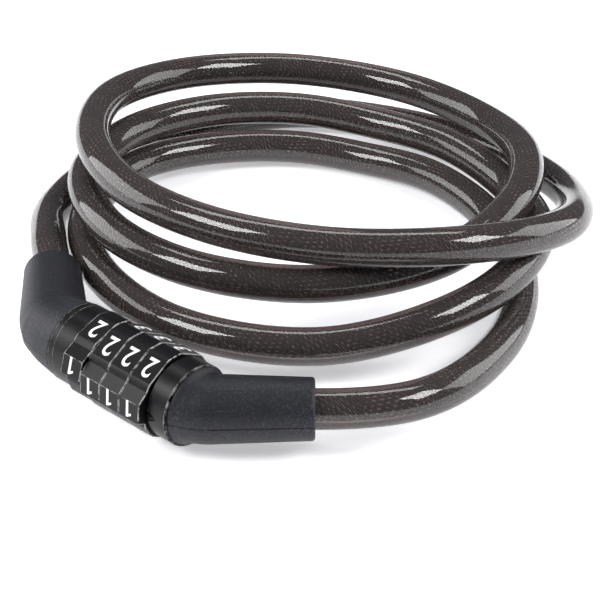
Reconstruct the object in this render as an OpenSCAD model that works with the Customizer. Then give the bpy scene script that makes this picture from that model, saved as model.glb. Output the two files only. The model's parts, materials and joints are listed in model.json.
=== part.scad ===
// Four-dial combination cable lock, closed, with its cable lying in a loose coil.
// The lock's axis runs along X: the female half with the dials at -X, the male half at +X.
// Z = 0 is the surface that the lock and its cable lie on.

/* [Dials] */
// Number of dials
dial_count = 4; // [3:1:5]
// Distance from one dial to the next
dial_pitch = 8.2; // [7.6:0.2:9]
// Gap between neighbouring dials
dial_gap = 0.2; // [0.1:0.1:0.4]
// Radius of the number ring over its corners
dial_r = 13.7; // [13.4:0.1:14.5]
// Distance from the axis to a face that carries a number
number_flat = 13; // [12.6:0.1:13.2]
// Distance from the axis to a blank face
blank_flat = 13.6; // [13.3:0.1:13.7]
// Number faces around a dial
digits = 6; // [5:1:8]
// How far round the first dial's number ring stands from the others
first_dial_turn = 12; // [0:1:15]
// How far the finger tab with the 1 stands out past its dial
tab_rise = 2; // [1:0.2:2.4]

/* [Lock barrel and bolt] */
// Radius of the slotted barrel that the dials turn on
barrel_r = 5.5; // [5.2:0.1:5.8]
// Radius of the bolt's rod
bolt_r = 3; // [2.6:0.1:3.2]
// Distance from the axis to the top of a bolt tooth
tooth_r = 7.4; // [6.8:0.1:7.6]
// Width of a bolt tooth
tooth_w = 2.4; // [2:0.1:2.6]
// Length of a bolt tooth
tooth_len = 3.2; // [2.8:0.1:3.4]

/* [Collars and boots] */
// Radius of the metal collars
collar_r = 12.6; // [12.2:0.1:12.9]
// Length of the female collar
female_collar_len = 9; // [8:0.5:10]
// Length of the male collar
male_collar_len = 7; // [6.5:0.5:8]
// Radius of a boot at its collar
boot_r = 12.6; // [12.5:0.1:13.2]
// Radius of the female boot at its elbow
elbow_r = 11.2; // [10.8:0.1:12]
// Radius of a boot at its cable end
boot_end_r = 9.2; // [8.8:0.1:9.8]
// Bend of the female boot
female_bend = 40; // [36:1:44]
// Bend of the male boot
male_bend = 42; // [38:1:46]
// Length of the female boot past its elbow
female_leg = 33; // [30:1:34]
// Length of the male boot past its elbow
male_leg = 32.5; // [28:0.5:34]

/* [Cable] */
// Outside diameter of the cable
cable_d = 12; // [11:0.5:12]
// Diameter of the steel rope inside the sheath
rope_d = 5.6; // [5:0.2:8]

/* [Hidden] */
$fn = 64;

running = 0.08;      // radial clearance of a sliding or turning fit
slack = 0.1;         // gap between parts that only lie beside each other
seat = 0.02;         // radial gap of a pressed-in part
axis_z = dial_r;     // height of the lock's axis
dial_w = dial_pitch - dial_gap;
dial_edge = 0.4;
tab_r = dial_r + tab_rise;
stack_end = dial_count * dial_pitch / 2 - dial_gap / 2;

// Barrel, flange and nose
bolt_bore = bolt_r + running;
slot_w = tooth_w + 0.4;
tooth_track_r = tooth_r + 0.4;
washer_t = 0.6;
flange_r = 9.5;
flange_t = 2;
nose_r = 9.8;
nose_len = 5;
tail_len = 14;
blind_end = -stack_end - 0.7;

// Gate rings
gate_r = 9.4;
gate_t = 3.6;
key_w = 2;
key_h = 0.9;

// Leaf spring that clicks the dials
spring_w = 3;
spring_t = 0.4;
spring_bump = 0.5;
spring_seat = barrel_r - 1.1;

// Male collar cup
collar_start = stack_end + 0.3;
cup_r = 10;
cup_floor = 1.6;
lug_w = 3;

// Inserts
insert_r = 8.5;
socket_r = 7.6;
socket_len = 16;
socket_bore = 5;
socket_floor = 5;
screw_r = 1.5;
pin_r = 1;
female_collar_end = collar_start + female_collar_len;
male_collar_end = collar_start + male_collar_len;
female_elbow = 37;
male_elbow = 26;
bolt_pin_back = 2.4;  // from the elbow back to the cross pin

// Cable
sides = 12;
sheath_start = socket_len + 1;
rope_start = socket_floor + 0.6;
boot_gap = 0.2;      // round the cable where it enters a boot

// The coil, seen from above, runs clockwise from the female boot to the male boot.
// Each pair is the radius from the coil's centre and the height of the cable's centre,
// one pair every 30 degrees, a row to each turn.
coil_centre = [-37, 116];
coil_start = 225;
female_out = [-79, 34, 13];
male_in = [67, 43, 13];
coil_step = 30;
coil = [
  [89, 9], [82, 7], [80, 6], [79, 7], [80, 6], [83, 8], [89, 14], [94, 26], [88, 36], [76, 37],
  [70, 37], [70, 37],
  [73, 37], [79, 34], [83, 28], [84, 23], [81, 21], [77, 22], [75, 27], [75, 28], [76, 25], [77, 24],
  [77, 24], [77, 24],
  [76, 24], [71, 22], [64, 20], [59, 18], [57, 16], [61, 16], [71, 14], [84, 18], [93, 18], [95, 13],
  [91, 12], [83, 12],
  [75, 11], [67, 10], [56, 8], [49, 7], [47, 6], [51, 7], [60, 7], [78, 6], [106, 8]
];

// ---------- Small tools ----------

module along_x(r, x0, x1) {
  translate([x0, 0, axis_z]) rotate([0, 90, 0]) cylinder(r = r, h = x1 - x0);
}

module bar(x0, x1, y0, y1, z0, z1) {
  translate([x0, y0, axis_z + z0]) cube([x1 - x0, y1 - y0, z1 - z0]);
}

// A half's own frame: its elbow on the axis, its leg turned towards the coil.
module on_leg(elbow, bend) {
  translate([elbow, 0, axis_z]) rotate([0, 0, bend]) rotate([0, 90, 0]) children();
}

module female() {
  mirror([1, 0, 0]) children();
}

function dial_x(i) = (i - (dial_count - 1) / 2) * dial_pitch;

// ---------- Dials ----------

// The ring's outline: number faces milled lower than the blank faces between them.
module number_outline() {
  intersection() {
    circle(r = dial_r);
    intersection_for (i = [0 : digits / 2 - 1]) {
      rotate(i * 360 / digits) square([2 * number_flat, 3 * dial_r], center = true);
    }
    intersection_for (i = [0 : digits / 2 - 1]) {
      rotate((i + 0.5) * 360 / digits) square([2 * blank_flat, 3 * dial_r], center = true);
    }
  }
}

// The finger tab: a ramp falls back from its sharp top corner to the blank face above it.
module tab_outline() {
  polygon([
    [-10, 6.8], [-11, 7.6], [-tab_r + 0.7, 4.2], [-tab_r + 0.1, -1.8],
    [-12.6, -3.4], [-11, -3]
  ]);
}

// A disc as wide as a dial, with both its edges chamfered.
module edged_disc(r) {
  cylinder(r1 = r - dial_edge, r2 = r, h = dial_edge);
  translate([0, 0, dial_edge]) cylinder(r = r, h = dial_w - 2 * dial_edge);
  translate([0, 0, dial_w - dial_edge]) cylinder(r1 = r, r2 = r - dial_edge, h = dial_edge);
}

module number_ring(i) {
  turn = i == 0 ? first_dial_turn : 0;
  color("#1c1c20")
  translate([dial_x(i) - dial_w / 2, 0, axis_z]) rotate([90, 0, 90])
  difference() {
    union() {
      intersection() {
        rotate(-turn) linear_extrude(dial_w) number_outline();
        edged_disc(dial_r);
      }
      intersection() {
        rotate(-turn) linear_extrude(dial_w) tab_outline();
        edged_disc(tab_r);
      }
    }
    translate([0, 0, -1]) cylinder(r = gate_r + 0.05, h = dial_w + 2);
    translate([gate_r, 0, dial_w / 2]) cube([2 * key_h + 0.2, key_w + 0.1, dial_w + 2], center = true);
  }
}

module gate_ring(i) {
  x0 = dial_x(i) - dial_w / 2;
  color("#b9b4a6")
  difference() {
    union() {
      along_x(gate_r, x0, x0 + dial_w);
      bar(x0, x0 + dial_w, gate_r - 1, gate_r + key_h, -key_w / 2, key_w / 2);
    }
    along_x(barrel_r + running, x0 - 1, x0 + dial_w + 1);
    along_x(tooth_track_r, x0 + gate_t, x0 + dial_w + 1);
    bar(x0 - 1, x0 + gate_t + 1, -tooth_track_r, 0, -slot_w / 2, slot_w / 2);
    for (a = [0 : 360 / digits : 359]) {
      translate([x0 - 1, 0, axis_z]) rotate([a, 0, 0])
      translate([0, barrel_r + running, 0]) rotate([0, 90, 0]) cylinder(r = 0.5, h = gate_t + 2, $fn = 24);
    }
  }
}

// ---------- Female half ----------

module dial_barrel() {
  mouth = stack_end + slack + nose_len;
  flange_end = -stack_end - slack - washer_t;
  color("#a9a598")
  difference() {
    union() {
      along_x(barrel_r, flange_end - flange_t - tail_len, mouth);
      along_x(flange_r, flange_end - flange_t, flange_end);
    }
    along_x(bolt_bore, blind_end, mouth + 1);
    bar(blind_end + 2, mouth + 1, -barrel_r - 1, 0, -slot_w / 2, slot_w / 2);
    bar(-stack_end, stack_end, spring_seat, barrel_r + 1, -spring_w / 2 - slack, spring_w / 2 + slack);
  }
}

module thrust_washer() {
  color("#d9d6cc")
  difference() {
    along_x(9, -stack_end - slack - washer_t, -stack_end - slack);
    along_x(barrel_r + running, -stack_end - 2, -stack_end + 1);
  }
}

// A flat strip in the barrel's groove with a round bump under each gate.
module click_spring() {
  color("#c9c7c0")
  union() {
    bar(-stack_end + 0.3, stack_end - 0.3, spring_seat, spring_seat + spring_t, -spring_w / 2, spring_w / 2);
    for (i = [0 : dial_count - 1]) {
      translate([dial_x(i) - dial_w / 2 + gate_t / 2, spring_seat + spring_t, axis_z])
      intersection() {
        rotate([0, 90, 0]) cylinder(r = spring_bump, h = gate_t - 1, center = true, $fn = 24);
        translate([0, spring_bump, 0]) cube([gate_t, 2 * spring_bump, 2 * spring_bump], center = true);
      }
    }
  }
}

module nose_ring() {
  x0 = stack_end + slack;
  color("#a9a598")
  difference() {
    union() {
      along_x(nose_r, x0, x0 + nose_len - 0.6);
      translate([x0 + nose_len - 0.6, 0, axis_z]) rotate([0, 90, 0])
      cylinder(r1 = nose_r, r2 = nose_r - 0.6, h = 0.6);
    }
    along_x(barrel_r + seat, x0 - 1, x0 + nose_len + 1);
    bar(x0 - 1, x0 + nose_len + 1, -tooth_track_r, 0, -slot_w / 2, slot_w / 2);
    for (s = [-1, 1]) {
      bar(x0 - 1, x0 + nose_len + 1, -lug_w / 2 - 0.2, lug_w / 2 + 0.2, s * 9.45 - 1.55, s * 9.45 + 1.55);
    }
    nose_pin_pair(0);
  }
}

// Two pins at 45 degrees that hold the nose ring on the barrel.
module nose_pin_pair(gap) {
  for (a = [-45, 45]) {
    translate([stack_end + slack + nose_len / 2, 0, axis_z]) rotate([a, 0, 0])
    translate([0, barrel_r + gap, 0]) rotate([-90, 0, 0])
    cylinder(r = 0.75, h = nose_r - barrel_r - 0.4 - gap, $fn = 32);
  }
}

module nose_pins() {
  color("#d0d0d0") nose_pin_pair(0.02);
}

module collar(collar_end, inner_r, cup_depth, cup) {
  difference() {
    union() {
      translate([collar_start, 0, axis_z]) rotate([0, 90, 0])
      cylinder(r1 = collar_r - 0.4, r2 = collar_r, h = 0.4);
      along_x(collar_r, collar_start + 0.4, collar_end);
    }
    along_x(inner_r, collar_start - 1, collar_end + 1);
    along_x(cup, collar_start - 1, collar_start + cup_depth);
  }
}

module female_collar() {
  color("#161619")
  female() collar(female_collar_end, insert_r + slack / 2, slack + washer_t + flange_t, flange_r + slack);
}

// ---------- Male half ----------

module bolt() {
  tip = dial_x(0) - 2.7;
  chamfer = 2;
  end = male_elbow - 0.4;
  color("#6e6e72")
  intersection() {
    difference() {
      union() {
        translate([tip, 0, axis_z]) rotate([0, 90, 0]) cylinder(r1 = bolt_r - 1.3, r2 = bolt_r, h = chamfer);
        along_x(bolt_r, tip + chamfer, end);
        for (i = [0 : dial_count - 1]) {
          x0 = dial_x(i) - dial_w / 2 + gate_t + 0.6;
          translate([x0, 0, axis_z]) rotate([90, 0, 0]) tooth();
        }
      }
      translate([male_elbow - bolt_pin_back, 0, 0]) cylinder(r = pin_r, h = 2 * axis_z);
    }
    // flats above and below leave the rod's bright sides
    bar(tip - 1, end + 1, -tooth_r, bolt_r, -bolt_r + 0.4, bolt_r - 0.4);
  }
}

// A tooth with its two top corners cut off, standing out from the rod.
module tooth() {
  cut = 0.6;
  rotate([-90, 0, 0]) translate([0, 0, -tooth_w / 2])
  linear_extrude(tooth_w)
  polygon([
    [0, 0], [0, -tooth_r + cut], [cut, -tooth_r],
    [tooth_len - cut, -tooth_r], [tooth_len, -tooth_r + cut], [tooth_len, 0]
  ]);
}

module bolt_pin() {
  color("#d0d0d0")
  translate([male_elbow - bolt_pin_back, 0, axis_z - insert_r + 0.4])
  cylinder(r = pin_r - seat, h = 2 * insert_r - 0.8);
}

module male_collar() {
  depth = male_collar_len - cup_floor;
  color("#161619")
  difference() {
    union() {
      collar(male_collar_end, insert_r + slack / 2, depth, cup_r);
      for (s = [-1, 1]) {
        bar(
          collar_start + 0.8, collar_start + depth + 0.3,
          -lug_w / 2, lug_w / 2, s * 9.4 - 1.2, s * 9.4 + 1.2
        );
      }
    }
    index_mark();
  }
}

// The index mark: an engraved triangle whose base lies on the rim, in line with the reading row.
module index_mark() {
  w = 4.4;
  len = 4;
  translate([collar_start - 0.01, -collar_r + 0.45, axis_z]) rotate([90, 0, 0])
  linear_extrude(2)
  difference() {
    polygon([[0, w / 2], [0, -w / 2], [len, 0]]);
    polygon([[-1, w / 2 - 0.9], [-1, -w / 2 + 0.9], [0.2, -w / 2 + 0.9], [len - 1.1, 0], [0.2, w / 2 - 0.9]]);
  }
}

// ---------- Both halves ----------

// Everything past a plane across the lock's axis, which trims an elbow where it meets its collar.
module beyond(x0) {
  bar(x0, x0 + 80, -60, 60, -30, 30);
}

// An angled casting: a spigot on the lock's axis and a socket on the boot's leg.
module insert(start, elbow, bend, bore_r, bore_end) {
  difference() {
    intersection() {
      union() {
        along_x(insert_r, start, elbow - 2);
        translate([elbow - 2, 0, axis_z]) sphere(r = insert_r);
        on_leg(elbow, bend) cylinder(r = socket_r, h = socket_len);
      }
      beyond(start);
    }
    along_x(bore_r, start - 1, bore_end);
    on_leg(elbow, bend) translate([0, 0, socket_floor]) cylinder(r = socket_bore, h = socket_len);
    on_leg(elbow, bend) translate([0, 0, 10]) rotate([0, -90, 0]) cylinder(r = screw_r, h = socket_r + 1);
  }
}

module female_insert() {
  flange_end = stack_end + slack + washer_t + flange_t;
  color("#8f8c84")
  female() insert(flange_end, female_elbow, female_bend, barrel_r + seat, flange_end + tail_len + 0.2);
}

module male_insert() {
  color("#8f8c84")
  difference() {
    insert(male_collar_end - cup_floor, male_elbow, male_bend, bolt_r + seat, male_elbow - 0.3);
    translate([male_elbow - bolt_pin_back, 0, 0]) cylinder(r = pin_r, h = 3 * axis_z);
  }
}

module ferrule(elbow, bend) {
  on_leg(elbow, bend) translate([0, 0, socket_floor + 0.1])
  difference() {
    cylinder(r = socket_bore - 0.05, h = socket_len - socket_floor - 0.3);
    translate([0, 0, -1]) cylinder(r = rope_d / 2 + 0.1, h = socket_len);
  }
}

module female_ferrule() {
  color("#b9b4a6") female() ferrule(female_elbow, female_bend);
}

module male_ferrule() {
  color("#b9b4a6") ferrule(male_elbow, male_bend);
}

module set_screw(elbow, bend) {
  on_leg(elbow, bend) translate([0, 0, 10]) rotate([0, -90, 0])
  difference() {
    translate([0, 0, socket_bore]) cylinder(r = screw_r - 0.02, h = socket_r - socket_bore - 0.1);
    translate([0, 0, socket_r - 1.2]) cylinder(r = 0.8, h = 2, $fn = 6);
  }
}

module female_set_screw() {
  color("#55555a") female() set_screw(female_elbow, female_bend);
}

module male_set_screw() {
  color("#55555a") set_screw(male_elbow, male_bend);
}

// ---------- Boots ----------

// A boot: as wide as its collar where they meet, round at its elbow, then tapering along its leg.
module boot_body(start, elbow, bend, leg, round_r) {
  end_round = 1.2;
  translate([start, 0, axis_z]) rotate([0, 90, 0]) cylinder(r1 = boot_r - 0.6, r2 = boot_r, h = 0.6);
  translate([start + 0.6, 0, axis_z]) rotate([0, 90, 0])
  cylinder(r1 = boot_r, r2 = round_r, h = elbow - start - 0.6);
  translate([elbow, 0, axis_z]) sphere(r = round_r);
  on_leg(elbow, bend) cylinder(r1 = round_r, r2 = boot_end_r, h = leg - end_round);
  on_leg(elbow, bend) translate([0, 0, leg - end_round - 0.01])
  cylinder(r1 = boot_end_r, r2 = boot_end_r - end_round, h = end_round + 0.01);
}

module boot(start, elbow, bend, leg, round_r) {
  difference() {
    intersection() {
      boot_body(start, elbow, bend, leg, round_r);
      beyond(start);
    }
    along_x(insert_r + slack, start - 1, elbow - 2);
    translate([elbow - 2, 0, axis_z]) sphere(r = insert_r + slack);
    on_leg(elbow, bend) cylinder(r = socket_r + slack, h = socket_len + slack);
    on_leg(elbow, bend) cylinder(r = cable_d / 2 + boot_gap, h = leg + 5);
  }
}

module female_boot() {
  color("#26262b") female() boot(female_collar_end + slack, female_elbow, female_bend, female_leg, elbow_r);
}

module male_boot() {
  color("#26262b") boot(male_collar_end + slack, male_elbow, male_bend, male_leg, boot_r);
}

function tube_faces(rings, n) = concat(
  [[for (k = [0 : n - 1]) k]],
  [for (i = [0 : rings - 2], k = [0 : n - 1])
    [i * n + k, (i + 1) * n + k, (i + 1) * n + (k + 1) % n, i * n + (k + 1) % n]],
  [[for (k = [n - 1 : -1 : 0]) (rings - 1) * n + k]]
);

// ---------- Cable ----------

function leg_point(side, elbow, bend, d) = [side * (elbow + d * cos(bend)), d * sin(bend), axis_z];

function coil_point(i) =
  let (a = coil_start - i * coil_step)
  [coil_centre[0] + coil[i][0] * cos(a), coil_centre[1] + coil[i][0] * sin(a), coil[i][1]];

lead = 4;
function route(inside) = concat(
  [for (d = [inside, female_leg, female_leg + lead]) leg_point(-1, female_elbow, female_bend, d)],
  [female_out],
  [for (i = [0 : len(coil) - 1]) coil_point(i)],
  [male_in],
  [for (d = [male_leg + lead, male_leg, inside]) leg_point(1, male_elbow, male_bend, d)]
);

// A smooth curve through the route: each point's slope is weighted by its neighbours' distances.
function slope(p, i) =
  i == 0 ? (p[1] - p[0]) / norm(p[1] - p[0]) :
  i == len(p) - 1 ? (p[i] - p[i - 1]) / norm(p[i] - p[i - 1]) :
  let (a = norm(p[i] - p[i - 1]), b = norm(p[i + 1] - p[i]))
  (p[i] - p[i - 1]) / a - (p[i + 1] - p[i - 1]) / (a + b) + (p[i + 1] - p[i]) / b;

function on_curve(p, s) =
  let (i = min(floor(s), len(p) - 2), u = s - i, d = norm(p[i + 1] - p[i]))
  p[i] * (2 * u * u * u - 3 * u * u + 1) + p[i + 1] * (3 * u * u - 2 * u * u * u)
  + d * slope(p, i) * (u * u * u - 2 * u * u + u) + d * slope(p, i + 1) * (u * u * u - u * u);

// Rings stand at two thirds of a step round the coil, and closer where the leads bend into the boots.
function ring_places(p) =
  let (n = len(p) - 1)
  concat(
    [0, 1, 2, 2.5, 3, 3.5],
    [for (s = [4 : 2 / 3 : n - 4 + 0.01]) s],
    [n - 3.5, n - 3, n - 2.5, n - 2, n - 1, n]
  );

function cable_ring(p, s, r) =
  let (
    e = 0.02,
    a = on_curve(p, max(s - e, 0)),
    b = on_curve(p, min(s + e, len(p) - 1)),
    t = (b - a) / norm(b - a),
    side = cross([0, 0, 1], t) / norm(cross([0, 0, 1], t)),
    up = cross(t, side),
    step = 360 / sides
  )
  [for (k = [0 : sides - 1], a = [(k + 0.5) * step]) on_curve(p, s) + r * (cos(a) * side + sin(a) * up)];

module cable(inside, r) {
  p = route(inside);
  places = ring_places(p);
  points = [for (s = places) each cable_ring(p, s, r)];
  polyhedron(points, tube_faces(len(places), sides), convexity = 20);
}

module cable_sheath() {
  color("#3c3a42")
  difference() {
    cable(sheath_start, cable_d / 2);
    cable(sheath_start - 0.5, rope_d / 2 + slack);
  }
}

module cable_rope() {
  color("#4a4744") cable(rope_start, rope_d / 2);
}

female_boot();
female_collar();
female_insert();
female_ferrule();
female_set_screw();
dial_barrel();
thrust_washer();
click_spring();
nose_ring();
nose_pins();
for (i = [0 : dial_count - 1]) {
  number_ring(i);
  gate_ring(i);
}
bolt();
bolt_pin();
male_collar();
male_insert();
male_ferrule();
male_set_screw();
male_boot();
cable_sheath();
cable_rope();
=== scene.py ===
import json
import math

import bpy
import numpy as np
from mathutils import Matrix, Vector


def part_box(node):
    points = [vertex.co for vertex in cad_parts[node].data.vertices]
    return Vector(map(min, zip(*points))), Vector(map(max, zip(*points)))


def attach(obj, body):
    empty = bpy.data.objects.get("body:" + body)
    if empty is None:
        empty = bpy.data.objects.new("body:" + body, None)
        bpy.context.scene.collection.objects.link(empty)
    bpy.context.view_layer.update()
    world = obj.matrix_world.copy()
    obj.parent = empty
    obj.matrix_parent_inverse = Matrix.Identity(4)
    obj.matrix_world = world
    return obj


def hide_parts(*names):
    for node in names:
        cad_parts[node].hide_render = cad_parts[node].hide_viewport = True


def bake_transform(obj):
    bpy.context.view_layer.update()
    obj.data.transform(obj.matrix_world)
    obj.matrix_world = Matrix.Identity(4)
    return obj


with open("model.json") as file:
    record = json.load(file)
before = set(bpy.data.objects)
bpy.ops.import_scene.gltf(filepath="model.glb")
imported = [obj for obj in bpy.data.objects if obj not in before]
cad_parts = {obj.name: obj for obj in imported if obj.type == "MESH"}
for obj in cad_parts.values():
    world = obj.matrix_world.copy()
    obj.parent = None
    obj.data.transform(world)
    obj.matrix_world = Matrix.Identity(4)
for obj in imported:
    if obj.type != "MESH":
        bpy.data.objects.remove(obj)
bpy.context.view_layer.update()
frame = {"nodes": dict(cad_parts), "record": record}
nodes = frame["nodes"]
print("frame loaded:", len(nodes), "nodes")

mm = 0.001


def linearColour(hexText, alpha=1.0):
    # sRGB hex to linear: the usual two-part curve, a straight foot and a 2.4 power
    channels = [int(hexText[i:i + 2], 16) / 255 for i in (1, 3, 5)]
    linear = [c / 12.92 if c <= 0.04045 else ((c + 0.055) / 1.055) ** 2.4 for c in channels]
    return (*linear, alpha)


def addNode(tree, kind, settings=None, links=None):
    # one node, its properties and socket values from settings, its inputs fed from links
    node = tree.nodes.new(kind)
    for key, value in (settings or {}).items():
        if isinstance(key, str) and hasattr(node, key):
            setattr(node, key, value)
        else:
            node.inputs[key].default_value = value
    for key, source in (links or {}).items():
        tree.links.new(source, node.inputs[key])
    return node


def newMaterial(name):
    material = bpy.data.materials.new(name)
    material.use_nodes = True
    tree = material.node_tree
    tree.nodes.clear()
    shader = addNode(tree, "ShaderNodeBsdfPrincipled")
    addNode(tree, "ShaderNodeOutputMaterial", links={"Surface": shader.outputs[0]})
    return material, tree, shader


def ramp(tree, source, stops):
    node = addNode(tree, "ShaderNodeValToRGB", links={"Fac": source})
    elements = node.color_ramp.elements
    while len(elements) < len(stops):
        elements.new(0.5)
    for element, (place, colour) in zip(elements, stops):
        element.position = place
        element.color = colour if len(colour) == 4 else (*colour, 1)
    return node


def meshPiece(name, points, faces, uv=None, attributes=None, smooth=True):
    mesh = bpy.data.meshes.new(name)
    mesh.from_pydata(np.asarray(points).tolist(), [], faces)
    mesh.update()
    if uv is not None:
        layer = mesh.uv_layers.new(name="uv")
        corners = np.zeros(len(mesh.loops), np.int32)
        mesh.loops.foreach_get("vertex_index", corners)
        layer.data.foreach_set("uv", np.asarray(uv, np.float32)[corners].ravel())
    for key, values in (attributes or {}).items():
        layer = mesh.attributes.new(key, "FLOAT", "POINT")
        layer.data.foreach_set("value", np.asarray(values, np.float32))
    mesh.polygons.foreach_set("use_smooth", np.full(len(mesh.polygons), smooth))
    piece = bpy.data.objects.new(name, mesh)
    bpy.context.scene.collection.objects.link(piece)
    return piece


def gridFaces(rows, columns, closeRows=False):
    # quads between neighbouring rows of a grid whose columns run once round
    last = rows if closeRows else rows - 1
    i, k = np.meshgrid(np.arange(last), np.arange(columns), indexing="ij")
    j, n = (i + 1) % rows, (k + 1) % columns
    quads = np.stack([i * columns + k, i * columns + n, j * columns + n, j * columns + k], -1)
    return quads.reshape(-1, 4).tolist()


# camera

cameraSettings = {
    "place": (0.3109, -0.2743, 0.2968),
    "aim": (-0.0069, 0.0786, 0.0),
    "lens": 102.2,
    "sensor": 36.0,
}
cameraData = bpy.data.cameras.new("camera")
cameraData.lens = cameraSettings["lens"]
cameraData.sensor_width = cameraSettings["sensor"]
cameraObject = bpy.data.objects.new("camera", cameraData)
cameraObject.location = cameraSettings["place"]
lookAlong = Vector(cameraSettings["aim"]) - Vector(cameraSettings["place"])
cameraObject.rotation_euler = lookAlong.to_track_quat("-Z", "Y").to_euler()
bpy.context.scene.collection.objects.link(cameraObject)
bpy.context.scene.camera = cameraObject
bpy.context.scene.view_settings.view_transform = "Standard"  # the white floor stays white

# the cable's route, in the same round numbers as the CAD model

routeSettings = {
    "axisHeight": 13.7 * mm,
    "female": {"side": -1, "elbow": 37 * mm, "bend": 40, "leg": 33 * mm},
    "male": {"side": 1, "elbow": 26 * mm, "bend": 42, "leg": 32.5 * mm},
    "inside": 17 * mm,
    "lead": 4 * mm,
    "femaleOut": (-79, 34, 13),
    "maleIn": (67, 43, 13),
    "centre": (-37, 116),
    "start": 225,
    "step": 30,
    "diameter": 12 * mm,
    "fineSteps": 12000,
    # distance from the coil's centre and height, every step round it, in millimetres; these pairs aren't
    # hand-chosen: a fit of the coil's shape gave them, a search kept the strands apart, and they are rounded
    "coil": [
        (89, 9), (82, 7), (80, 6), (79, 7), (80, 6), (83, 8), (89, 14), (94, 26), (88, 36),
        (76, 37), (70, 37), (70, 37), (73, 37), (79, 34), (83, 28), (84, 23), (81, 21), (77, 22),
        (75, 27), (75, 28), (76, 25), (77, 24), (77, 24), (77, 24), (76, 24), (71, 22), (64, 20),
        (59, 18), (57, 16), (61, 16), (71, 14), (84, 18), (93, 18), (95, 13), (91, 12), (83, 12),
        (75, 11), (67, 10), (56, 8), (49, 7), (47, 6), (51, 7), (60, 7), (78, 6), (106, 8),
    ],
}


def legPoint(half, distance):
    a = math.radians(half["bend"])
    return [half["side"] * (half["elbow"] + distance * math.cos(a)), distance * math.sin(a),
            routeSettings["axisHeight"]]


def routePoints():
    r = routeSettings
    female, male = r["female"], r["male"]
    coil = np.array(r["coil"], float) * mm
    angle = np.radians(r["start"] - r["step"] * np.arange(len(coil)))
    turns = np.stack([r["centre"][0] * mm + coil[:, 0] * np.cos(angle),
                      r["centre"][1] * mm + coil[:, 0] * np.sin(angle), coil[:, 1]], -1)
    start = [legPoint(female, d) for d in (r["inside"], female["leg"], female["leg"] + r["lead"])]
    end = [legPoint(male, d) for d in (male["leg"] + r["lead"], male["leg"], r["inside"])]
    return np.vstack([start, [np.array(r["femaleOut"]) * mm], turns, [np.array(r["maleIn"]) * mm], end])


def smoothRoute(points, spacing):
    # cubic through the points, each slope weighted by the distances to both neighbours,
    # then cut at even steps of length
    gap = np.linalg.norm(np.diff(points, axis=0), axis=1)[:, None]
    step = np.diff(points, axis=0) / gap
    across = (points[2:] - points[:-2]) / (gap[:-1] + gap[1:])
    slope = np.vstack([step[:1], step[:-1] - across + step[1:], step[-1:]])
    s = np.linspace(0, len(points) - 1, routeSettings["fineSteps"])
    i = np.minimum(s.astype(int), len(points) - 2)
    u = (s - i)[:, None]
    dense = (points[i] * (2 * u**3 - 3 * u**2 + 1) + points[i + 1] * (3 * u**2 - 2 * u**3)
             + gap[i] * (slope[i] * (u**3 - 2 * u**2 + u) + slope[i + 1] * (u**3 - u**2)))
    travelled = np.r_[0, np.cumsum(np.linalg.norm(np.diff(dense, axis=0), axis=1))]
    even = np.linspace(0, travelled[-1], int(travelled[-1] / spacing) + 1)
    return np.stack([np.interp(even, travelled, dense[:, k]) for k in range(3)], -1), even


def sweepFrame(path):
    # tangent, level sideways direction and the one across both, at each point of the path
    tangent = np.gradient(path, axis=0)
    tangent /= np.linalg.norm(tangent, axis=1)[:, None]
    side = np.cross([0, 0, 1.0], tangent)
    side /= np.linalg.norm(side, axis=1)[:, None]
    return tangent, side, np.cross(tangent, side)


def sweptTube(name, path, along, radius, columns, twist=0.0, lobes=0, lobeDepth=0.0):
    # each point is path + r(k) * (cos a * side + sin a * up), with a turned by twist times the
    # distance travelled
    tangent, side, up = sweepFrame(path)
    k = np.arange(columns) * 2 * math.pi / columns
    a = k[None, :] + twist * along[:, None]
    r = radius - lobeDepth * (1 - np.abs(np.cos(k * lobes / 2)) ** 0.7)[None, :, None]
    points = path[:, None] + r * (np.cos(a)[..., None] * side[:, None] + np.sin(a)[..., None] * up[:, None])
    rows = len(path)
    uv = np.stack([np.broadcast_to(np.minimum(k, 2 * math.pi - k) / math.pi, (rows, columns)),
                   np.broadcast_to(along[:, None] * 100, (rows, columns))], -1)
    faces = gridFaces(rows, columns)
    faces.append(list(range(columns - 1, -1, -1)))
    faces.append([(rows - 1) * columns + i for i in range(columns)])
    return meshPiece(name, points.reshape(-1, 3), faces, uv=uv.reshape(-1, 2))


def followBolt(piece):
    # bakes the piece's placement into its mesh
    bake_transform(piece)


cableSettings = {
    "ringGap": 1.7 * mm,
    "sheathColumns": 36,
    "ropeRadius": 2.8 * mm,
    "ropeRise": 0.5 * mm,
    "ropeStrands": 12,
    "ropeColumns": 72,
    "strandDepth": 0.45 * mm,
    "ropeLay": 30 * mm,
    "freeStretch": 520 * mm,
    "heldStretch": 30 * mm,
}
routeLine, routeAlong = smoothRoute(routePoints(), cableSettings["ringGap"])
cableSheath = sweptTube("cableSheath", routeLine, routeAlong, routeSettings["diameter"] / 2,
                        cableSettings["sheathColumns"])
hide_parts("cable_sheath")
ropeLine = routeLine[2:-2] + np.array([0, 0, cableSettings["ropeRise"]])
steelRope = sweptTube("steelRope", ropeLine, routeAlong[2:-2], cableSettings["ropeRadius"],
                      cableSettings["ropeColumns"], twist=2 * math.pi / cableSettings["ropeLay"],
                      lobes=cableSettings["ropeStrands"], lobeDepth=cableSettings["strandDepth"])
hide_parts("cable_rope")
followBolt(cableSheath)
followBolt(steelRope)
print("cable: %.3f m, %d rings" % (routeAlong[-1], len(routeLine)))


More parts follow.
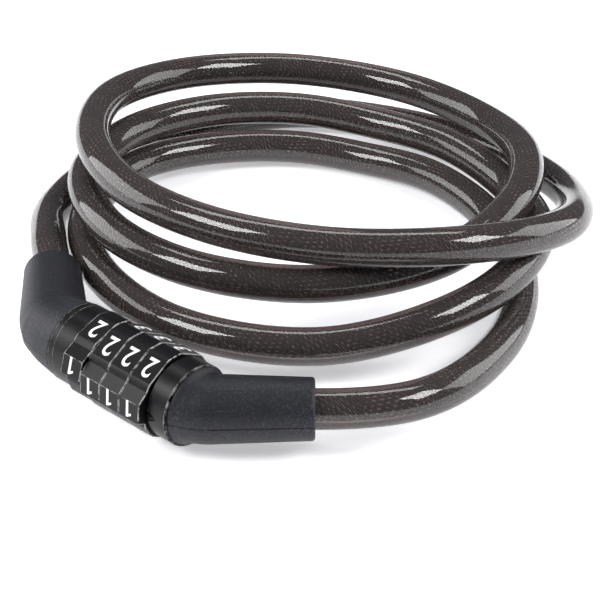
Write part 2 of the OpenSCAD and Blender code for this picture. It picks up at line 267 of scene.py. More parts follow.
def grainBump(tree, scale, strength, distance, detail=3.0, coordinates=None):
    noise = addNode(tree, "ShaderNodeTexNoise", {"Scale": scale, "Detail": detail, "Roughness": 0.6},
                    {"Vector": coordinates})
    bump = addNode(tree, "ShaderNodeBump", {"Strength": strength, "Distance": distance},
                   {"Height": noise.outputs[0]})
    return noise, bump


def makeSheathMaterial():
    # extruded clear PVC with a smoke tint: glossy, light bends at its skin and is soaked up through
    # its depth
    material, tree, shader = newMaterial("smokyPvc")
    place = addNode(tree, "ShaderNodeTexCoord").outputs["Object"]
    shader.inputs["Base Color"].default_value = linearColour("#b8a8a4")
    shader.inputs["IOR"].default_value = 1.53
    shader.inputs["Transmission Weight"].default_value = 0.93
    haze = addNode(tree, "ShaderNodeTexNoise", {"Scale": 90.0, "Detail": 2.0}, {"Vector": place})
    rough = addNode(tree, "ShaderNodeMapRange", {"To Min": 0.05, "To Max": 0.08},
                    {"Value": haze.outputs[0]})
    tree.links.new(rough.outputs[0], shader.inputs["Roughness"])
    smoke = addNode(tree, "ShaderNodeVolumeAbsorption",
                    {"Color": linearColour("#93878a"), "Density": 200.0})
    output = next(n for n in tree.nodes if n.type == "OUTPUT_MATERIAL")
    tree.links.new(smoke.outputs[0], output.inputs["Volume"])
    return material


def makeRopeMaterial():
    # stranded steel wire under oil and plastic: nearly black, with short bright dashes on its wires that are
    # painted highlights: glints painted into the base colour
    material, tree, shader = newMaterial("strandedSteelWire")
    wireSpacing = 1.7  # millimetres
    uv = addNode(tree, "ShaderNodeUVMap", {"uv_map": "uv"}).outputs[0]
    split = addNode(tree, "ShaderNodeSeparateXYZ", links={"Vector": uv})
    # wires cross each strand at the wire spacing; the map's v is in units of 10 mm
    slant = addNode(tree, "ShaderNodeMath", {"operation": "MULTIPLY", 1: 50.0}, {0: split.outputs["X"]})
    travel = addNode(tree, "ShaderNodeMath", {"operation": "MULTIPLY", 1: 2 * math.pi * 10 / wireSpacing},
                     {0: split.outputs["Y"]})
    phase = addNode(tree, "ShaderNodeMath", {"operation": "ADD"},
                    {0: slant.outputs[0], 1: travel.outputs[0]})
    wave = addNode(tree, "ShaderNodeMath", {"operation": "SINE"}, {0: phase.outputs[0]})
    # crests of the twelve strands, then a short painted highlight (a painted glint) wherever a wire crosses
    # a crest
    roundRope = addNode(tree, "ShaderNodeMath",
                        {"operation": "MULTIPLY", 1: cableSettings["ropeStrands"] / 2 * math.pi},
                        {0: split.outputs["X"]})
    strand = addNode(tree, "ShaderNodeMath", {"operation": "COSINE"}, {0: roundRope.outputs[0]})
    crest = addNode(tree, "ShaderNodeMath", {"operation": "ABSOLUTE"}, {0: strand.outputs[0]})
    paintedGlint = addNode(tree, "ShaderNodeMath", {"operation": "MULTIPLY"},
                   {0: wave.outputs[0], 1: crest.outputs[0]})
    place = addNode(tree, "ShaderNodeTexCoord").outputs["Object"]
    spots = addNode(tree, "ShaderNodeTexNoise", {"Scale": 260.0, "Detail": 3.0}, {"Vector": place})
    mixed = addNode(tree, "ShaderNodeMath", {"operation": "MULTIPLY"},
                    {0: paintedGlint.outputs[0], 1: spots.outputs[0]})
    # painted highlight: the pale stop paints the glints into the base colour, the rest is the wire's own
    # dark tone
    tone = ramp(tree, mixed.outputs[0], [(0.22, linearColour("#0b0b0c")), (0.36, linearColour("#3a3735")),
                                         (0.46, linearColour("#f0ece6"))])
    tree.links.new(tone.outputs[0], shader.inputs["Base Color"])
    shader.inputs["Metallic"].default_value = 0.35
    shader.inputs["Roughness"].default_value = 0.36
    bump = addNode(tree, "ShaderNodeBump", {"Strength": 0.7, "Distance": 0.0002},
                   {"Height": wave.outputs[0]})
    tree.links.new(bump.outputs[0], shader.inputs["Normal"])
    return material


def makeBootMaterial():
    # moulded soft vinyl with a spark-eroded grain: matt, faintly blue charcoal, a dull sheen where
    # light grazes
    material, tree, shader = newMaterial("mouldedSoftVinyl")
    place = addNode(tree, "ShaderNodeTexCoord").outputs["Object"]
    # grain of about 0.7 mm, drawn coarser than a real 0.2 mm grain so that it shows
    noise, bump = grainBump(tree, 1500.0, 0.55, 0.00025, coordinates=place)
    cloud = addNode(tree, "ShaderNodeTexNoise", {"Scale": 60.0, "Detail": 3.0}, {"Vector": place})
    mixed = addNode(tree, "ShaderNodeMath", {"operation": "MULTIPLY_ADD", 1: 0.35},
                    {0: cloud.outputs[0], 2: noise.outputs[0]})
    tone = ramp(tree, mixed.outputs[0], [(0.45, linearColour("#141519")), (0.72, linearColour("#1d1e24")),
                                         (0.95, linearColour("#3c3e48"))])
    tree.links.new(tone.outputs[0], shader.inputs["Base Color"])
    shader.inputs["Roughness"].default_value = 0.5
    shader.inputs["Specular IOR Level"].default_value = 0.3
    tree.links.new(bump.outputs[0], shader.inputs["Normal"])
    return material


def makeDialMaterial():
    # black lacquer over moulded dials: satin gloss, with a pale line painted on edges and corners as a
    # painted highlight
    material, tree, shader = newMaterial("blackLacquerPaintedEdgeHighlight")
    place = addNode(tree, "ShaderNodeTexCoord").outputs["Object"]
    edgeHighlight = addNode(tree, "ShaderNodeAttribute", {"attribute_name": "edgeHighlight"}).outputs["Fac"]
    patchNoise = addNode(tree, "ShaderNodeTexNoise", {"Scale": 700.0, "Detail": 4.0, "Roughness": 0.7},
                    {"Vector": place})
    # painted highlight: a pale line painted along the rounded edges and face corners, broken up by noise
    paintedEdgeLine = addNode(tree, "ShaderNodeMath", {"operation": "MULTIPLY"}, {0: edgeHighlight, 1: patchNoise.outputs[0]})
    highlightMask = ramp(tree, paintedEdgeLine.outputs[0], [(0.38, (0, 0, 0, 1)), (0.54, (1, 1, 1, 1))])
    fine = addNode(tree, "ShaderNodeTexNoise", {"Scale": 2500.0, "Detail": 2.0}, {"Vector": place})
    black = ramp(tree, fine.outputs[0], [(0.35, linearColour("#050507")), (0.7, linearColour("#0b0b0e"))])
    # the pale colour is the painted edge highlight; the rest is the lacquer's own near-black
    colour = addNode(tree, "ShaderNodeMix", {"data_type": "RGBA", 7: linearColour("#a5a2a1")},
                     {0: highlightMask.outputs[0], 6: black.outputs[0]})
    tree.links.new(colour.outputs[2], shader.inputs["Base Color"])
    shader.inputs["Specular IOR Level"].default_value = 0.22
    rough = addNode(tree, "ShaderNodeMapRange",
                    {"From Min": 0.3, "From Max": 0.7, "To Min": 0.28, "To Max": 0.42},
                    {"Value": patchNoise.outputs[0]})
    tree.links.new(rough.outputs[0], shader.inputs["Roughness"])
    bump = addNode(tree, "ShaderNodeBump", {"Strength": 0.12, "Distance": 0.0002},
                   {"Height": fine.outputs[0]})
    tree.links.new(bump.outputs[0], shader.inputs["Normal"])
    return material


def makeCollarMaterial():
    # gloss black paint on turned metal, with a thin broken pale line painted at its edges as a painted
    # highlight
    material, tree, shader = newMaterial("glossBlackPaint")
    place = addNode(tree, "ShaderNodeTexCoord").outputs["Object"]
    split = addNode(tree, "ShaderNodeSeparateXYZ", links={"Vector": place})
    length = addNode(tree, "ShaderNodeMath", {"operation": "ABSOLUTE"}, {0: split.outputs["X"]})
    closest = None
    for edge in collarEdges:
        off = addNode(tree, "ShaderNodeMath", {"operation": "SUBTRACT", 1: edge}, {0: length.outputs[0]})
        near = addNode(tree, "ShaderNodeMath", {"operation": "ABSOLUTE"}, {0: off.outputs[0]})
        closest = near if closest is None else addNode(tree, "ShaderNodeMath", {"operation": "MINIMUM"},
                                                       {0: closest.outputs[0], 1: near.outputs[0]})
    # painted highlight: a thin pale line painted at each edge, broken up by noise
    line = addNode(tree, "ShaderNodeMapRange",
                   {"From Min": 0.0, "From Max": 0.00022, "To Min": 1.0, "To Max": 0.0},
                   {"Value": closest.outputs[0]})
    patchNoise = addNode(tree, "ShaderNodeTexNoise", {"Scale": 600.0, "Detail": 4.0, "Roughness": 0.7},
                    {"Vector": place})
    paintedEdgeLine = addNode(tree, "ShaderNodeMath", {"operation": "MULTIPLY"},
                     {0: line.outputs[0], 1: patchNoise.outputs[0]})
    highlightMask = ramp(tree, paintedEdgeLine.outputs[0], [(0.34, (0, 0, 0, 1)), (0.5, (1, 1, 1, 1))])
    black = ramp(tree, patchNoise.outputs[0], [(0.3, linearColour("#050507")), (0.8, linearColour("#0a0a0c"))])
    # the pale colour is the painted edge highlight
    colour = addNode(tree, "ShaderNodeMix", {"data_type": "RGBA", 7: linearColour("#8f8b89")},
                     {0: highlightMask.outputs[0], 6: black.outputs[0]})
    tree.links.new(colour.outputs[2], shader.inputs["Base Color"])
    shader.inputs["Specular IOR Level"].default_value = 0.25
    rough = addNode(tree, "ShaderNodeMapRange",
                    {"From Min": 0.3, "From Max": 0.7, "To Min": 0.28, "To Max": 0.38},
                    {"Value": patchNoise.outputs[0]})
    tree.links.new(rough.outputs[0], shader.inputs["Roughness"])
    return material


def makePrintMaterial():
    # pad-printed white ink: flat and slightly uneven
    material, tree, shader = newMaterial("padPrintedWhite")
    place = addNode(tree, "ShaderNodeTexCoord").outputs["Object"]
    noise, bump = grainBump(tree, 1200.0, 0.2, 0.0001, coordinates=place)
    tone = ramp(tree, noise.outputs[0], [(0.3, linearColour("#d5d5d3")), (0.6, linearColour("#f4f4f2"))])
    tree.links.new(tone.outputs[0], shader.inputs["Base Color"])
    shader.inputs["Roughness"].default_value = 0.45
    tree.links.new(bump.outputs[0], shader.inputs["Normal"])
    return material


def makeMetal(name, dark, light, roughness, stretch):
    # bare or plated metal: noise stretched along the tool marks varies its tone and its polish
    material, tree, shader = newMaterial(name)
    place = addNode(tree, "ShaderNodeTexCoord").outputs["Object"]
    marks = addNode(tree, "ShaderNodeMapping", {"Scale": stretch}, {"Vector": place})
    noise = addNode(tree, "ShaderNodeTexNoise", {"Scale": 500.0, "Detail": 4.0},
                    {"Vector": marks.outputs[0]})
    tone = ramp(tree, noise.outputs[0], [(0.3, linearColour(dark)), (0.7, linearColour(light))])
    tree.links.new(tone.outputs[0], shader.inputs["Base Color"])
    rough = addNode(tree, "ShaderNodeMapRange",
                    {"From Min": 0.3, "From Max": 0.7, "To Min": roughness - 0.06,
                                                 "To Max": roughness + 0.1}, {"Value": noise.outputs[0]})
    tree.links.new(rough.outputs[0], shader.inputs["Roughness"])
    shader.inputs["Metallic"].default_value = 1.0
    bump = addNode(tree, "ShaderNodeBump", {"Strength": 0.15, "Distance": 0.0001},
                   {"Height": noise.outputs[0]})
    tree.links.new(bump.outputs[0], shader.inputs["Normal"])
    return material


def makeBoltMaterial():
    # blackened steel, ground bright on the two flats of the rod
    material, tree, shader = newMaterial("blackenedSteelGroundFlats")
    place = addNode(tree, "ShaderNodeTexCoord").outputs["Object"]
    split = addNode(tree, "ShaderNodeSeparateXYZ", links={"Vector": place})
    rise = addNode(tree, "ShaderNodeMath", {"operation": "SUBTRACT", 1: routeSettings["axisHeight"]},
                   {0: split.outputs["Z"]})
    height = addNode(tree, "ShaderNodeMath", {"operation": "ABSOLUTE"}, {0: rise.outputs[0]})
    flat = addNode(tree, "ShaderNodeMapRange", {"From Min": 0.00252, "From Max": 0.00258},
                   {"Value": height.outputs[0]})
    marks = addNode(tree, "ShaderNodeMapping", {"Scale": (0.1, 1.0, 1.0)}, {"Vector": place})
    noise = addNode(tree, "ShaderNodeTexNoise", {"Scale": 900.0, "Detail": 4.0},
                    {"Vector": marks.outputs[0]})
    black = ramp(tree, noise.outputs[0], [(0.3, linearColour("#141416")), (0.75, linearColour("#3a3a3e"))])
    bright = ramp(tree, noise.outputs[0], [(0.3, linearColour("#b4b3b5")), (0.7, linearColour("#e6e5e6"))])
    colour = addNode(tree, "ShaderNodeMix", {"data_type": "RGBA"},
                     {0: flat.outputs[0], 6: black.outputs[0], 7: bright.outputs[0]})
    tree.links.new(colour.outputs[2], shader.inputs["Base Color"])
    rough = addNode(tree, "ShaderNodeMapRange", {"To Min": 0.22, "To Max": 0.4},
                    {"Value": noise.outputs[0]})
    tree.links.new(rough.outputs[0], shader.inputs["Roughness"])
    shader.inputs["Metallic"].default_value = 0.9
    return material


# places along the axis of the collar edges that get the painted highlight line
collarEdges = (16.7 * mm, 23.55 * mm, 25.55 * mm)
finishes = {
    "clear_sheath": makeSheathMaterial(),
    "steel_rope": makeRopeMaterial(),
    "boot_rubber": makeBootMaterial(),
    "dial_black": makeDialMaterial(),
    "black_collar": makeCollarMaterial(),
    "bolt_steel": makeBoltMaterial(),
    "gate_brass": makeMetal("turnedBrass", "#a88345", "#d8bd7c", 0.28, (4.0, 0.3, 0.3)),
    "barrel_metal": makeMetal("turnedZincAlloy", "#77756f", "#b3b1ab", 0.32, (4.0, 0.3, 0.3)),
    "cast_insert": makeMetal("dieCastZinc", "#6c6b67", "#a09e99", 0.48, (1.0, 1.0, 1.0)),
    "ferrule_steel": makeMetal("crimpedSteel", "#8b8984", "#c4c2bd", 0.35, (1.0, 1.0, 1.0)),
    "small_steel": makeMetal("zincPlatedSteel", "#96979b", "#d2d3d6", 0.25, (1.0, 1.0, 1.0)),
    "spring_steel": makeMetal("rolledSpringSteel", "#6f7073", "#b8b9bd", 0.25, (0.2, 3.0, 3.0)),
}
for row in frame["record"]["subparts"]:
    node = nodes[row["node"]]
    node.data.materials.clear()
    node.data.materials.append(finishes[row["material_slot"]])
cableSheath.data.materials.append(finishes["clear_sheath"])
steelRope.data.materials.append(finishes["steel_rope"])
print("materials:", len(finishes))

dialSettings = {
    "count": 4,
    "pitch": 8.2 * mm,
    "width": 8.0 * mm,
    "corner": 13.7 * mm,
    "numberFlat": 13.0 * mm,
    "blankFlat": 13.6 * mm,
    "bore": 9.45 * mm,
    "edgeRound": 0.2 * mm,
    # reach and strength of the pale line painted on edges and corners as a painted highlight
    "highlightReach": 0.2 * mm,
    "cornerHighlight": 0.55,
    "tabHighlightReach": 0.22 * mm,
    "clearOfTab": 2.5 * mm,
    "firstTurn": 12.0,
    "digitHeight": 6.4 * mm,
    "digitBold": 0.07 * mm,
    "digitNarrow": 0.88,
    "ink": 0.03 * mm,
    "tab": [(-11.0, 7.6), (-15.0, 4.2), (-15.6, -1.8), (-12.6, -3.4)],
    "oneHeight": 5.4 * mm,
    "one": [(-0.15, -2.9), (0.85, -2.9), (0.85, 2.9), (0.2, 2.9), (-1.35, 2.0), (-1.35, 1.2), (-0.15, 1.7)],
}


def tabFaces():
    # each face of the finger tab as the angle of its outward direction and its distance from the axis
    corners = np.array(dialSettings["tab"]) * mm * (-1, 1)
    along = np.diff(corners, axis=0)
    angle = np.arctan2(along[:, 0], -along[:, 1])
    return angle, corners[:-1, 0] * np.cos(angle) + corners[:-1, 1] * np.sin(angle)


def tabAngles():
    # angles of the tab's two outer corners, and of the two lines where it leaves the ring
    corners = np.array(dialSettings["tab"]) * (-1, 1)
    outer = np.arctan2(corners[1:3, 1], corners[1:3, 0])
    a = np.radians(np.linspace(-30, 40, 7001))
    proud = a[dialOutline(a) > ringOutline(a) + 1e-6]
    return np.array([proud.min(), outer[1], outer[0], proud.max()])


def ringOutline(angle):
    # radius of the milled ring: the nearest of its circle, its six number faces and its six blank faces
    d = dialSettings
    sixth = math.radians(60)
    number = np.abs((angle + sixth / 2) % sixth - sixth / 2)
    blank = np.abs(angle % sixth - sixth / 2)
    faces = np.minimum(d["numberFlat"] / np.cos(number), d["blankFlat"] / np.cos(blank))
    return np.minimum(d["corner"], faces)


def dialOutline(angle):
    # the ring's radius, or the finger tab's where that is larger; the tab is the nearest of its three faces
    facing, distance = tabFaces()
    a = (angle + math.pi) % (2 * math.pi) - math.pi
    off = a[..., None] - facing
    tab = np.where(np.abs(off) < 1.4, distance / np.maximum(np.cos(off), 0.05), 1.0).min(-1)
    near = (a > math.radians(-30)) & (a < math.radians(40))
    ring = ringOutline(angle)
    return np.where(near & (tab < 20 * mm), np.maximum(ring, tab), ring)


def dialCorners():
    # angles, measured from a number face's middle, at which a number face meets the ring's circle or
    # a blank face
    d = dialSettings
    a = np.linspace(0, math.radians(30), 20001)
    number = d["numberFlat"] / np.cos(a)
    other = np.minimum(d["corner"], d["blankFlat"] / np.cos(math.radians(30) - a))
    return a[np.argmin(np.abs(number - other))]


def makeDial(index):
    # grid of angle and distance along the axis: outer face, rounded edge, side face, bore
    d = dialSettings
    corner = dialCorners()
    offsets = np.array([-0.9, -0.45, -0.22, -0.1, -0.03, 0.03, 0.1, 0.22, 0.45, 0.9]) * mm / d["corner"]
    base = np.r_[0, corner + offsets, math.radians(30), -corner + offsets]
    tabCorners = tabAngles()
    extra = np.concatenate([t + offsets for t in tabCorners])
    angles = np.concatenate([base + i * math.radians(60) for i in range(6)] + [extra]) % (2 * math.pi)
    angles = np.unique(np.round(angles, 5))
    x0 = (index - (d["count"] - 1) / 2) * d["pitch"] - d["width"] / 2
    e = d["edgeRound"]
    quarter = np.radians(np.linspace(0, 90, 5))
    # distance from the axis, or back from the outline where it is negative; place along the axis; painted
    # edge highlight
    profile = [(d["bore"], 0.0, 0.0), (d["bore"] + 0.5 * mm, 0.0, 0.0), (-2.0 * mm, 0.0, 0.0),
               (-1.1 * mm, 0.0, 0.1), (-0.6 * mm, 0.0, 0.5)]
    profile += [(-e + e * math.sin(q), e - e * math.cos(q), 1.0) for q in quarter]
    flatPlaces = ((0.28 * mm, 0.55), (0.42 * mm, 0.0), (1.2 * mm, 0.0), (4.0 * mm, 0.0))
    profile += [(0.0, x, w) for x, w in flatPlaces]
    mirrored = [(r, d["width"] - x, w) for r, x, w in profile[::-1][1:]]
    profile = profile + mirrored
    radius, x, edgeHighlight = (np.array(v) for v in zip(*profile))
    outline = dialOutline(angles)
    r = np.where(radius[:, None] > 0, np.minimum(radius[:, None], outline[None]),
                 outline[None] + radius[:, None])
    # angle runs up from the face towards -Y; the first dial's ring stands a little further round
    turn = math.radians(d["firstTurn"]) if index == 0 else 0.0
    a = angles[None] + turn
    points = np.stack([np.broadcast_to((x0 + x)[:, None], r.shape), -r * np.cos(a),
                       routeSettings["axisHeight"] + r * np.sin(a)], -1)
    # how much painted edge highlight each vertex at the number faces' corners and the tab's outer corner
    # gets
    arc = (angles + math.radians(30)) % math.radians(60) - math.radians(30)
    offCorner = np.minimum(np.abs(arc - corner), np.abs(arc + corner)) * d["corner"]
    cornerHighlight = np.clip(1.0 - offCorner / d["highlightReach"], 0, 1) * d["cornerHighlight"]
    spread = (angles[:, None] - tabCorners[None] + math.pi) % (2 * math.pi) - math.pi
    offTab = np.abs(spread) * d["corner"]
    tabHighlight = np.clip(1.1 - offTab[:, 2] / d["tabHighlightReach"], 0, 0.95)
    cornerHighlight = np.maximum(cornerHighlight * (offTab.min(1) > d["clearOfTab"]), tabHighlight)
    onFace = (radius <= 0) & (radius > -0.7 * mm)
    highlightAmount = np.maximum(edgeHighlight[:, None], onFace[:, None] * cornerHighlight[None])
    faces = gridFaces(len(profile), len(angles), closeRows=True)
    piece = meshPiece("numberRing%d" % (index + 1), points.reshape(-1, 3), faces,
                      attributes={"edgeHighlight": highlightAmount.ravel()})
    piece.data.flip_normals()
    piece.data.materials.append(finishes["dial_black"])
    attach(piece, "dial_%d" % (index + 1))
    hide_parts("number_ring_%d" % (index + 1))
    return piece


def digitShape(text):
    # one numeral as a thin solid, centred, in its own plane
    curve = bpy.data.curves.new("numeral", "FONT")
    curve.body = text
    curve.size = 0.01
    curve.extrude = dialSettings["ink"] / 2
    curve.resolution_u = 6
    holder = bpy.data.objects.new("numeral", curve)
    bpy.context.scene.collection.objects.link(holder)
    bpy.context.view_layer.update()
    height = holder.dimensions.y
    curve.size *= (dialSettings["digitHeight"] - 2 * dialSettings["digitBold"]) / height
    curve.offset = dialSettings["digitBold"]
    bpy.context.view_layer.update()
    mesh = bpy.data.meshes.new_from_object(holder.evaluated_get(bpy.context.evaluated_depsgraph_get()))
    points = np.zeros(len(mesh.vertices) * 3)
    mesh.vertices.foreach_get("co", points)
    points = points.reshape(-1, 3)
    points[:, :2] -= (points[:, :2].min(0) + points[:, :2].max(0)) / 2
    points[:, 0] *= dialSettings["digitNarrow"]
    faces = [list(p.vertices) for p in mesh.polygons]
    bpy.data.objects.remove(holder)
    bpy.data.meshes.remove(mesh)
    return points, faces


def oneShape():
    # the numeral 1 as a thin solid: a stem with a short sloping flag
    outline = np.array(dialSettings["one"])
    outline = outline * dialSettings["oneHeight"] / np.ptp(outline[:, 1])
    outline -= (outline.min(0) + outline.max(0)) / 2
    n = len(outline)
    half = dialSettings["ink"] / 2
    points = np.vstack([np.column_stack([outline, np.full(n, z)]) for z in (-half, half)])
    sides = [[i, (i + 1) % n, n + (i + 1) % n, n + i] for i in range(n)]
    return points, [list(range(n))[::-1], list(range(n, 2 * n))] + sides


def makeDialNumbers(index, shapes):
    # numeral tops point round the dial towards its lower side, and each line of figures runs towards -X
    d = dialSettings
    turn = math.radians(d["firstTurn"]) if index == 0 else 0.0
    x = (index - (d["count"] - 1) / 2) * d["pitch"]
    allPoints, allFaces, used = [], [], 0
    for face, text in enumerate("123450"):
        points, faces = shapes[text]
        facing, distance = math.radians(60) * face, d["numberFlat"]
        if face == 0:
            facing, distance = (values[1] for values in tabFaces())
        a = facing + turn
        out = np.array([0, -math.cos(a), math.sin(a)])
        up = np.array([0, -math.sin(a), -math.cos(a)])
        centre = np.array([x, 0, routeSettings["axisHeight"]]) + out * (distance + d["ink"] * 0.6)
        placed = centre + points[:, :1] * np.array([-1.0, 0, 0]) + points[:, 1:2] * up + points[:, 2:] * out
        allPoints.append(placed)
        allFaces += [[v + used for v in f] for f in faces]
        used += len(points)
    piece = meshPiece("dialNumbers%d" % (index + 1), np.vstack(allPoints), allFaces, smooth=False)
    piece.data.materials.append(printInk)
    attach(piece, "dial_%d" % (index + 1))
    return piece


printInk = makePrintMaterial()
numerals = {text: digitShape(text) for text in "02345"}
numerals["1"] = oneShape()
for index in range(dialSettings["count"]):
    makeDial(index)
    makeDialNumbers(index, numerals)
print("dials and numbers made")

bootSettings = {
    "collar": 12.6 * mm,
    "elbow": 10.9 * mm,
    "maleElbow": 10.2 * mm,
    "root": 12.4 * mm,
    "maleRoot": 10.6 * mm,
    "behind": 5 * mm,
    "maleBehind": 11 * mm,
    "end": 9.1 * mm,
    "bore": 6.15 * mm,
    "hollow": 9.3 * mm,
    "endRound": 1.1 * mm,
    "groove": 0.22 * mm,
    "columns": 128,
    "femaleTurn": 16 * mm,
    "maleTurn": 5 * mm,
    "femalePivot": (3.0 * mm, 19 * mm),
    "malePivot": (0.0, 15.6 * mm),
    "leadRings": 5,
    "fanRings": 26,
    "legRings": 33,
    "lineBalls": 300,
    "halvings": 18,
    "smoothings": 4,
    "grooveWidth": 0.28 * mm,
    "wall": 1.2 * mm,
    "boreDepth": 12 * mm,
    "mouth": 8.7 * mm,
    "reach": 24 * mm,
}


def bootLine(half, start, turnRadius):
    # centre line of a boot, at even steps: straight, an arc, then its leg; with the radius at each place
    b = bootSettings
    bend = math.radians(half["bend"])
    cut = turnRadius * math.tan(bend / 2)
    straight = max(half["elbow"] - cut - start, 0)
    arc = turnRadius * bend
    leg = half["leg"] - cut
    male = half["side"] > 0
    s = np.linspace(-20 * mm, straight + arc + leg, b["lineBalls"])
    a = np.clip((s - straight) / turnRadius, 0, bend)
    past = np.clip(s - straight - arc, 0, None)
    x = start + np.minimum(s, straight) + turnRadius * np.sin(a) + past * math.cos(bend)
    y = turnRadius * (1 - np.cos(a)) + past * math.sin(bend)
    bendPlace = half["elbow"] - start
    root = b["maleRoot"] if male else b["root"]
    elbow = b["maleElbow"] if male else b["elbow"]
    behind = b["maleBehind"] if male else b["behind"]
    radius = np.interp(s, [0, bendPlace, straight + arc + leg], [root, elbow, b["end"]])
    # balls well behind the collar's plane all pass through the boot's rim
    radius = np.where(s < -behind, np.hypot(b["collar"], s), radius)
    return np.stack([x, y], -1), radius


def makeBoot(name, half, start, turnRadius, body, node):
    # rings fan about a pivot on the inside of the elbow, then stand square to the leg; along each
    # ring the skin is
    # where the distance to the nearest ball of the centre line is that ball's radius
    b = bootSettings
    line, lineRadius = bootLine(half, start, turnRadius)
    bend = math.radians(half["bend"])
    elbow = np.array([half["elbow"], 0.0])
    along = np.array([math.cos(bend), math.sin(bend)])
    female = half["side"] < 0
    pivotPast, pivotSide = b["femalePivot"] if female else b["malePivot"]
    pivot = np.array([start + pivotPast, pivotSide])
    fan = np.linspace(0, bend, b["fanRings"])
    planeDirection = np.stack([-np.sin(fan), np.cos(fan)], -1)
    # where each fanned plane crosses the straight and the leg
    onStraight = pivot[0] - pivot[1] * planeDirection[:, 0] / planeDirection[:, 1]
    normal = np.stack([np.cos(fan), np.sin(fan)], -1)
    onLeg = ((pivot - elbow) @ normal.T) / (normal @ along)
    centres = np.where((onStraight <= elbow[0])[:, None], np.stack([onStraight, np.zeros_like(fan)], -1),
                       elbow + np.maximum(onLeg, 0)[:, None] * along)
    legStart = float((pivot - elbow) @ along)
    legs = np.linspace(legStart, half["leg"] - b["endRound"], b["legRings"] + 1)[1:]
    centres = np.vstack([centres, elbow + legs[:, None] * along])
    fan = np.r_[fan, np.full(len(legs), bend)]
    if female:
        lead = np.linspace(start, centres[0, 0], b["leadRings"] + 1)[:-1]
        centres = np.vstack([np.stack([lead, np.zeros_like(lead)], -1), centres])
        fan = np.r_[np.zeros(len(lead)), fan]
    turn = np.arange(b["columns"]) * 2 * math.pi / b["columns"]
    phi = turn - 0.42 * np.sin(2 * turn)
    level = np.stack([-np.sin(fan), np.cos(fan), np.zeros_like(fan)], -1)
    upward = np.array([0, 0, 1.0]) * np.sin(phi)[None, :, None]
    direction = level[:, None] * np.cos(phi)[None, :, None] + upward
    centre3 = np.column_stack([centres, np.zeros(len(centres))])
    line3 = np.column_stack([line, np.zeros(len(line))])
    low = np.zeros(direction.shape[:2])
    high = np.full(direction.shape[:2], b["reach"])
    for _ in range(b["halvings"]):
        middle = (low + high) / 2
        points = centre3[:, None] + direction * middle[..., None]
        gap = np.full(middle.shape, 1.0)
        for i in range(0, len(line3), 2):
            gap = np.minimum(gap, np.linalg.norm(points - line3[i], axis=-1) - lineRadius[i])
        inside = gap < 0
        low, high = np.where(inside, middle, low), np.where(inside, high, middle)
    radius = (low + high) / 2
    kernel = np.array([1, 4, 6, 4, 1]) / 16
    for _ in range(b["smoothings"]):
        padded = np.pad(radius, ((2, 2), (0, 0)), mode="edge")
        radius = sum(kernel[k] * padded[k:k + len(radius)] for k in range(5))
    # the mould's parting line lies level on both sides
    groove = np.exp(-(np.sin(phi) * 12 * mm / b["grooveWidth"]) ** 2)[None]
    radius = radius - b["groove"] * groove
    # rim at the collar, rounded
    rim = [(-0.5 * mm, 0.0), (-0.18 * mm, 0.14 * mm)]
    firstRings = np.stack([radius[0] + r for r, _ in rim])
    firstCentres = np.stack([centres[0] + np.array([x, 0]) for _, x in rim])
    # the square end: a rounded edge, then the bore that holds the cable
    q = np.radians(np.linspace(0, 90, 6))[1:]
    endRings = np.stack([radius[-1] - b["endRound"] * (1 - np.cos(v)) for v in q])
    endCentres = np.stack([centres[-1] + along * b["endRound"] * np.sin(v) for v in q])
    lip = np.stack([np.full(b["columns"], b["bore"] + r) for r in (0.9 * mm, 0.3 * mm, 0.0, 0.0)])
    tip = elbow + half["leg"] * along
    lipCentres = np.stack([tip - along * d for d in (0.0, 0.1 * mm, 0.5 * mm, b["boreDepth"])])
    # the hollow inside, back to the collar
    inner = np.minimum(b["hollow"], radius[::-3].min(1) - b["wall"])
    innerKeep = (centres[::-3] - elbow) @ along < half["leg"] - b["boreDepth"] - 1.5 * mm
    innerRings = np.repeat(inner[innerKeep][:, None], b["columns"], 1)
    innerCentres = centres[::-3][innerKeep]
    innerFan = fan[::-3][innerKeep]
    mouth = np.full((1, b["columns"]), b["mouth"])
    allRadius = np.vstack([firstRings, radius[1:], endRings, lip, innerRings, mouth])
    allCentres = np.vstack([firstCentres, centres[1:], endCentres, lipCentres, innerCentres, centres[:1]])
    allFan = np.r_[np.zeros(2), fan[1:], np.full(9, bend), innerFan, 0.0]
    level = np.stack([-np.sin(allFan), np.cos(allFan), np.zeros_like(allFan)], -1)
    direction = level[:, None] * np.cos(phi)[None, :, None] + upward
    middles = np.column_stack([allCentres, np.full(len(allCentres), routeSettings["axisHeight"])])
    points = middles[:, None] + direction * allRadius[..., None]
    points[..., 0] *= half["side"]
    faces = gridFaces(len(allRadius), b["columns"], closeRows=True)
    piece = meshPiece(name, points.reshape(-1, 3), faces)
    if female:
        piece.data.flip_normals()
    piece.data.materials.append(finishes["boot_rubber"])
    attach(piece, body)
    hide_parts(node)
    return piece


femaleStart = -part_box("female_collar")[0].x + 0.1 * mm
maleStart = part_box("male_collar")[1].x + 0.1 * mm
makeBoot("femaleBoot", routeSettings["female"], femaleStart, bootSettings["femaleTurn"],
         "female_half", "female_boot")
makeBoot("maleBoot", routeSettings["male"], maleStart, bootSettings["maleTurn"],
         "male_half", "male_boot")
print("boots made")

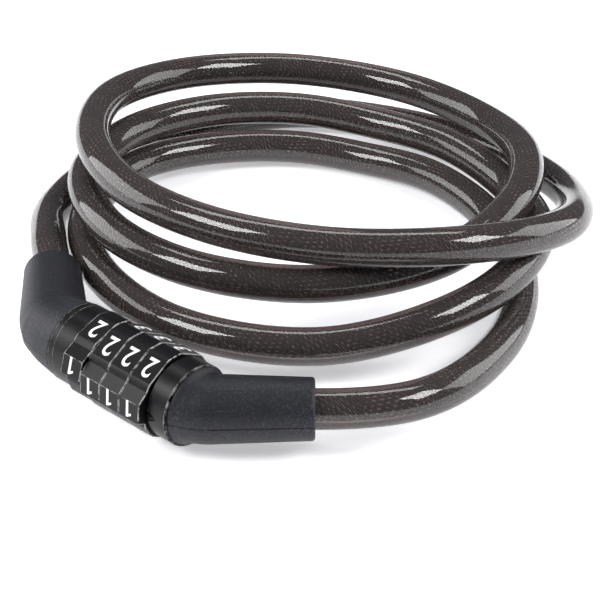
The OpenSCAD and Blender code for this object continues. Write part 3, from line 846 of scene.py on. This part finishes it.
studioSettings = {
    "floor": "#f6f6f8",
    "floorGlow": 0.45,
    "world": "#f2f4ff",
    "worldStrength": 0.14,
    # right, away and high of the aim point, width, depth, power
    "boxes": {
        "leftBox": (-0.75, -0.35, 0.75, 0.5, 0.42, 8.0),
        "rightBox": (0.75, -0.25, 0.75, 0.5, 0.42, 8.0),
        "topBox": (0.0, 0.55, 1.1, 1.0, 0.3, 5.0),
        "leftCard": (-1.1, 0.3, 0.42, 0.9, 0.8, 9.0),
        "rightCard": (1.1, 0.35, 0.4, 0.8, 0.7, 6.0),
    },
}
floorMesh = bpy.data.meshes.new("floor")
floorMesh.from_pydata([(-4, -4, 0), (4, -4, 0), (4, 4, 0), (-4, 4, 0)], [], [(0, 1, 2, 3)])
floor = bpy.data.objects.new("floor", floorMesh)
bpy.context.scene.collection.objects.link(floor)
paper, tree, shader = newMaterial("matPaper")
shader.inputs["Base Color"].default_value = linearColour(studioSettings["floor"])
shader.inputs["Roughness"].default_value = 0.9
shader.inputs["Specular IOR Level"].default_value = 0.1
shader.inputs["Emission Color"].default_value = linearColour(studioSettings["floor"])
shader.inputs["Emission Strength"].default_value = studioSettings["floorGlow"]
floorMesh.materials.append(paper)

world = bpy.data.worlds.new("studio")
world.use_nodes = True
world.node_tree.nodes["Background"].inputs[0].default_value = linearColour(studioSettings["world"])
world.node_tree.nodes["Background"].inputs[1].default_value = studioSettings["worldStrength"]
bpy.context.scene.world = world


def softbox(name, right, away, high, width, depth, power):
    # an area light placed from the aim point in the camera's own directions: to its right, away from
    # it, and up
    aim = Vector(cameraSettings["aim"])
    forward = Vector((lookAlong.x, lookAlong.y, 0)).normalized()
    side = forward.cross(Vector((0, 0, 1)))
    data = bpy.data.lights.new(name, "AREA")
    data.shape = "RECTANGLE"
    data.size, data.size_y, data.energy = width, depth, power
    light = bpy.data.objects.new(name, data)
    light.location = aim + side * right + forward * away + Vector((0, 0, high))
    light.rotation_euler = (aim - light.location).to_track_quat("-Z", "Y").to_euler()
    bpy.context.scene.collection.objects.link(light)
    return light


for name, placing in studioSettings["boxes"].items():
    softbox(name, *placing)

print("scene done")
